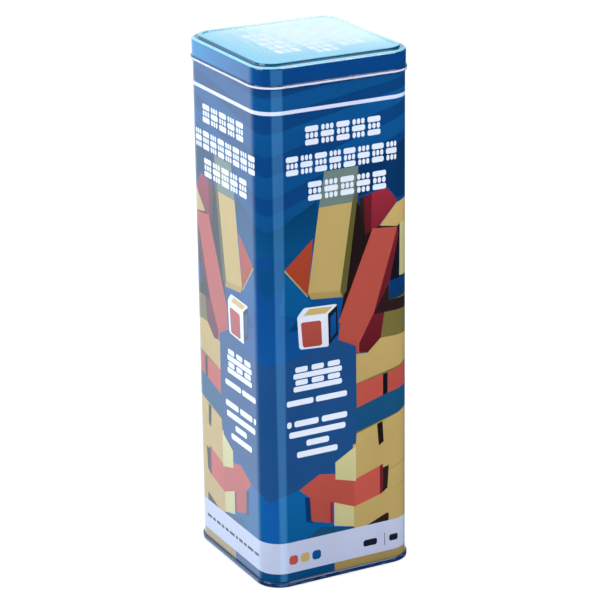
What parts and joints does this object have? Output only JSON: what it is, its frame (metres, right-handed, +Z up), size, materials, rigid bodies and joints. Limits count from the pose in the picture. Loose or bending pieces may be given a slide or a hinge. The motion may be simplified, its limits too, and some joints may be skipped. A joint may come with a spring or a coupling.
{
  "type": "tumbling tower game in a tin",
  "caption": "Tall square tinplate tin with rounded corners, seamed base and slip-on lid, packed with a stack of coloured wooden blocks, a colour die and a folded leaflet.",
  "frame": {"origin": "middle of the tin's foot, on the surface that it stands on", "axes": "+Z up along the tin's height, -Y and -X are the two faces seen from the front, +Y carries the side seam"},
  "size_m": [0.086, 0.086, 0.272],
  "materials": {
    "tin_print": "glossy printed tinplate",
    "base_lacquer": "glossy lacquered tinplate",
    "lid_print": "glossy printed tinplate",
    "red_block": "satin painted wood",
    "yellow_block": "satin painted wood",
    "blue_block": "satin painted wood",
    "leaflet_paper": "matt uncoated paper",
    "die_paint": "gloss painted wood"
  },
  "bodies": {
    "tin": {"tin_body": "tin_print", "tin_base": "base_lacquer"},
    "block_01_red": {"block_01_red": "red_block"},
    "block_02_yellow": {"block_02_yellow": "yellow_block"},
    "block_03_blue": {"block_03_blue": "blue_block"},
    "block_04_yellow": {"block_04_yellow": "yellow_block"},
    "block_05_blue": {"block_05_blue": "blue_block"},
    "block_06_red": {"block_06_red": "red_block"},
    "block_07_blue": {"block_07_blue": "blue_block"},
    "block_08_red": {"block_08_red": "red_block"},
    "block_09_yellow": {"block_09_yellow": "yellow_block"},
    "block_10_red": {"block_10_red": "red_block"},
    "block_11_yellow": {"block_11_yellow": "yellow_block"},
    "block_12_blue": {"block_12_blue": "blue_block"},
    "block_13_yellow": {"block_13_yellow": "yellow_block"},
    "block_14_blue": {"block_14_blue": "blue_block"},
    "block_15_red": {"block_15_red": "red_block"},
    "block_16_blue": {"block_16_blue": "blue_block"},
    "block_17_red": {"block_17_red": "red_block"},
    "block_18_yellow": {"block_18_yellow": "yellow_block"},
    "block_19_red": {"block_19_red": "red_block"},
    "block_20_yellow": {"block_20_yellow": "yellow_block"},
    "block_21_blue": {"block_21_blue": "blue_block"},
    "block_22_yellow": {"block_22_yellow": "yellow_block"},
    "block_23_blue": {"block_23_blue": "blue_block"},
    "block_24_red": {"block_24_red": "red_block"},
    "block_25_blue": {"block_25_blue": "blue_block"},
    "block_26_red": {"block_26_red": "red_block"},
    "block_27_yellow": {"block_27_yellow": "yellow_block"},
    "block_28_red": {"block_28_red": "red_block"},
    "block_29_yellow": {"block_29_yellow": "yellow_block"},
    "block_30_blue": {"block_30_blue": "blue_block"},
    "block_31_yellow": {"block_31_yellow": "yellow_block"},
    "block_32_blue": {"block_32_blue": "blue_block"},
    "block_33_red": {"block_33_red": "red_block"},
    "block_34_blue": {"block_34_blue": "blue_block"},
    "block_35_red": {"block_35_red": "red_block"},
    "block_36_yellow": {"block_36_yellow": "yellow_block"},
    "block_37_red": {"block_37_red": "red_block"},
    "block_38_yellow": {"block_38_yellow": "yellow_block"},
    "block_39_blue": {"block_39_blue": "blue_block"},
    "block_40_yellow": {"block_40_yellow": "yellow_block"},
    "block_41_blue": {"block_41_blue": "blue_block"},
    "block_42_red": {"block_42_red": "red_block"},
    "block_43_blue": {"block_43_blue": "blue_block"},
    "block_44_red": {"block_44_red": "red_block"},
    "block_45_yellow": {"block_45_yellow": "yellow_block"},
    "block_46_red": {"block_46_red": "red_block"},
    "block_47_yellow": {"block_47_yellow": "yellow_block"},
    "block_48_blue": {"block_48_blue": "blue_block"},
    "rules_leaflet": {"rules_leaflet": "leaflet_paper"},
    "colour_die": {"colour_die": "die_paint"},
    "lid": {"lid": "lid_print"}
  },
  "joints": [
    {"name": "lid_lift", "type": "slide", "parent": "colour_die", "child": "lid", "axis": [0, 0, 1], "range_m": [0, 0.08]},
    {"name": "die_lift", "type": "slide", "parent": "rules_leaflet", "child": "colour_die", "axis": [0, 0, 1], "range_m": [0, 0.03]},
    {"name": "leaflet_lift", "type": "slide", "parent": "block_48_blue", "child": "rules_leaflet", "axis": [0, 0, 1], "range_m": [0, 0.016]},
    {"name": "stack_lift", "type": "slide", "parent": "tin", "child": "block_01_red", "axis": [0, 0, 1], "range_m": [0, 0.275]},
    {"name": "block_02_lift", "type": "slide", "parent": "block_01_red", "child": "block_02_yellow", "axis": [0, 0, 1], "range_m": [0, 0.016]},
    {"name": "block_03_lift", "type": "slide", "parent": "block_02_yellow", "child": "block_03_blue", "axis": [0, 0, 1], "range_m": [0, 0.016]},
    {"name": "block_04_lift", "type": "slide", "parent": "block_03_blue", "child": "block_04_yellow", "axis": [0, 0, 1], "range_m": [0, 0.016]},
    {"name": "block_05_lift", "type": "slide", "parent": "block_04_yellow", "child": "block_05_blue", "axis": [0, 0, 1], "range_m": [0, 0.016]},
    {"name": "block_06_lift", "type": "slide", "parent": "block_05_blue", "child": "block_06_red", "axis": [0, 0, 1], "range_m": [0, 0.016]},
    {"name": "block_07_lift", "type": "slide", "parent": "block_06_red", "child": "block_07_blue", "axis": [0, 0, 1], "range_m": [0, 0.016]},
    {"name": "block_08_lift", "type": "slide", "parent": "block_07_blue", "child": "block_08_red", "axis": [0, 0, 1], "range_m": [0, 0.016]},
    {"name": "block_09_lift", "type": "slide", "parent": "block_08_red", "child": "block_09_yellow", "axis": [0, 0, 1], "range_m": [0, 0.016]},
    {"name": "block_10_lift", "type": "slide", "parent": "block_09_yellow", "child": "block_10_red", "axis": [0, 0, 1], "range_m": [0, 0.016]},
    {"name": "block_11_lift", "type": "slide", "parent": "block_10_red", "child": "block_11_yellow", "axis": [0, 0, 1], "range_m": [0, 0.016]},
    {"name": "block_12_lift", "type": "slide", "parent": "block_11_yellow", "child": "block_12_blue", "axis": [0, 0, 1], "range_m": [0, 0.016]},
    {"name": "block_13_lift", "type": "slide", "parent": "block_12_blue", "child": "block_13_yellow", "axis": [0, 0, 1], "range_m": [0, 0.016]},
    {"name": "block_14_lift", "type": "slide", "parent": "block_13_yellow", "child": "block_14_blue", "axis": [0, 0, 1], "range_m": [0, 0.016]},
    {"name": "block_15_lift", "type": "slide", "parent": "block_14_blue", "child": "block_15_red", "axis": [0, 0, 1], "range_m": [0, 0.016]},
    {"name": "block_16_lift", "type": "slide", "parent": "block_15_red", "child": "block_16_blue", "axis": [0, 0, 1], "range_m": [0, 0.016]},
    {"name": "block_17_lift", "type": "slide", "parent": "block_16_blue", "child": "block_17_red", "axis": [0, 0, 1], "range_m": [0, 0.016]},
    {"name": "block_18_lift", "type": "slide", "parent": "block_17_red", "child": "block_18_yellow", "axis": [0, 0, 1], "range_m": [0, 0.016]},
    {"name": "block_19_lift", "type": "slide", "parent": "block_18_yellow", "child": "block_19_red", "axis": [0, 0, 1], "range_m": [0, 0.016]},
    {"name": "block_20_lift", "type": "slide", "parent": "block_19_red", "child": "block_20_yellow", "axis": [0, 0, 1], "range_m": [0, 0.016]},
    {"name": "block_21_lift", "type": "slide", "parent": "block_20_yellow", "child": "block_21_blue", "axis": [0, 0, 1], "range_m": [0, 0.016]},
    {"name": "block_22_lift", "type": "slide", "parent": "block_21_blue", "child": "block_22_yellow", "axis": [0, 0, 1], "range_m": [0, 0.016]},
    {"name": "block_23_lift", "type": "slide", "parent": "block_22_yellow", "child": "block_23_blue", "axis": [0, 0, 1], "range_m": [0, 0.016]},
    {"name": "block_24_lift", "type": "slide", "parent": "block_23_blue", "child": "block_24_red", "axis": [0, 0, 1], "range_m": [0, 0.016]},
    {"name": "block_25_lift", "type": "slide", "parent": "block_24_red", "child": "block_25_blue", "axis": [0, 0, 1], "range_m": [0, 0.016]},
    {"name": "block_26_lift", "type": "slide", "parent": "block_25_blue", "child": "block_26_red", "axis": [0, 0, 1], "range_m": [0, 0.016]},
    {"name": "block_27_lift", "type": "slide", "parent": "block_26_red", "child": "block_27_yellow", "axis": [0, 0, 1], "range_m": [0, 0.016]},
    {"name": "block_28_lift", "type": "slide", "parent": "block_27_yellow", "child": "block_28_red", "axis": [0, 0, 1], "range_m": [0, 0.016]},
    {"name": "block_29_lift", "type": "slide", "parent": "block_28_red", "child": "block_29_yellow", "axis": [0, 0, 1], "range_m": [0, 0.016]},
    {"name": "block_30_lift", "type": "slide", "parent": "block_29_yellow", "child": "block_30_blue", "axis": [0, 0, 1], "range_m": [0, 0.016]},
    {"name": "block_31_lift", "type": "slide", "parent": "block_30_blue", "child": "block_31_yellow", "axis": [0, 0, 1], "range_m": [0, 0.016]},
    {"name": "block_32_lift", "type": "slide", "parent": "block_31_yellow", "child": "block_32_blue", "axis": [0, 0, 1], "range_m": [0, 0.016]},
    {"name": "block_33_lift", "type": "slide", "parent": "block_32_blue", "child": "block_33_red", "axis": [0, 0, 1], "range_m": [0, 0.016]},
    {"name": "block_34_lift", "type": "slide", "parent": "block_33_red", "child": "block_34_blue", "axis": [0, 0, 1], "range_m": [0, 0.016]},
    {"name": "block_35_lift", "type": "slide", "parent": "block_34_blue", "child": "block_35_red", "axis": [0, 0, 1], "range_m": [0, 0.016]},
    {"name": "block_36_lift", "type": "slide", "parent": "block_35_red", "child": "block_36_yellow", "axis": [0, 0, 1], "range_m": [0, 0.016]},
    {"name": "block_37_lift", "type": "slide", "parent": "block_36_yellow", "child": "block_37_red", "axis": [0, 0, 1], "range_m": [0, 0.016]},
    {"name": "block_38_lift", "type": "slide", "parent": "block_37_red", "child": "block_38_yellow", "axis": [0, 0, 1], "range_m": [0, 0.016]},
    {"name": "block_39_lift", "type": "slide", "parent": "block_38_yellow", "child": "block_39_blue", "axis": [0, 0, 1], "range_m": [0, 0.016]},
    {"name": "block_40_lift", "type": "slide", "parent": "block_39_blue", "child": "block_40_yellow", "axis": [0, 0, 1], "range_m": [0, 0.016]},
    {"name": "block_41_lift", "type": "slide", "parent": "block_40_yellow", "child": "block_41_blue", "axis": [0, 0, 1], "range_m": [0, 0.016]},
    {"name": "block_42_lift", "type": "slide", "parent": "block_41_blue", "child": "block_42_red", "axis": [0, 0, 1], "range_m": [0, 0.016]},
    {"name": "block_43_lift", "type": "slide", "parent": "block_42_red", "child": "block_43_blue", "axis": [0, 0, 1], "range_m": [0, 0.016]},
    {"name": "block_44_lift", "type": "slide", "parent": "block_43_blue", "child": "block_44_red", "axis": [0, 0, 1], "range_m": [0, 0.016]},
    {"name": "block_45_lift", "type": "slide", "parent": "block_44_red", "child": "block_45_yellow", "axis": [0, 0, 1], "range_m": [0, 0.016]},
    {"name": "block_46_lift", "type": "slide", "parent": "block_45_yellow", "child": "block_46_red", "axis": [0, 0, 1], "range_m": [0, 0.016]},
    {"name": "block_47_lift", "type": "slide", "parent": "block_46_red", "child": "block_47_yellow", "axis": [0, 0, 1], "range_m": [0, 0.016]},
    {"name": "block_48_lift", "type": "slide", "parent": "block_47_yellow", "child": "block_48_blue", "axis": [0, 0, 1], "range_m": [0, 0.016]}
  ]
}
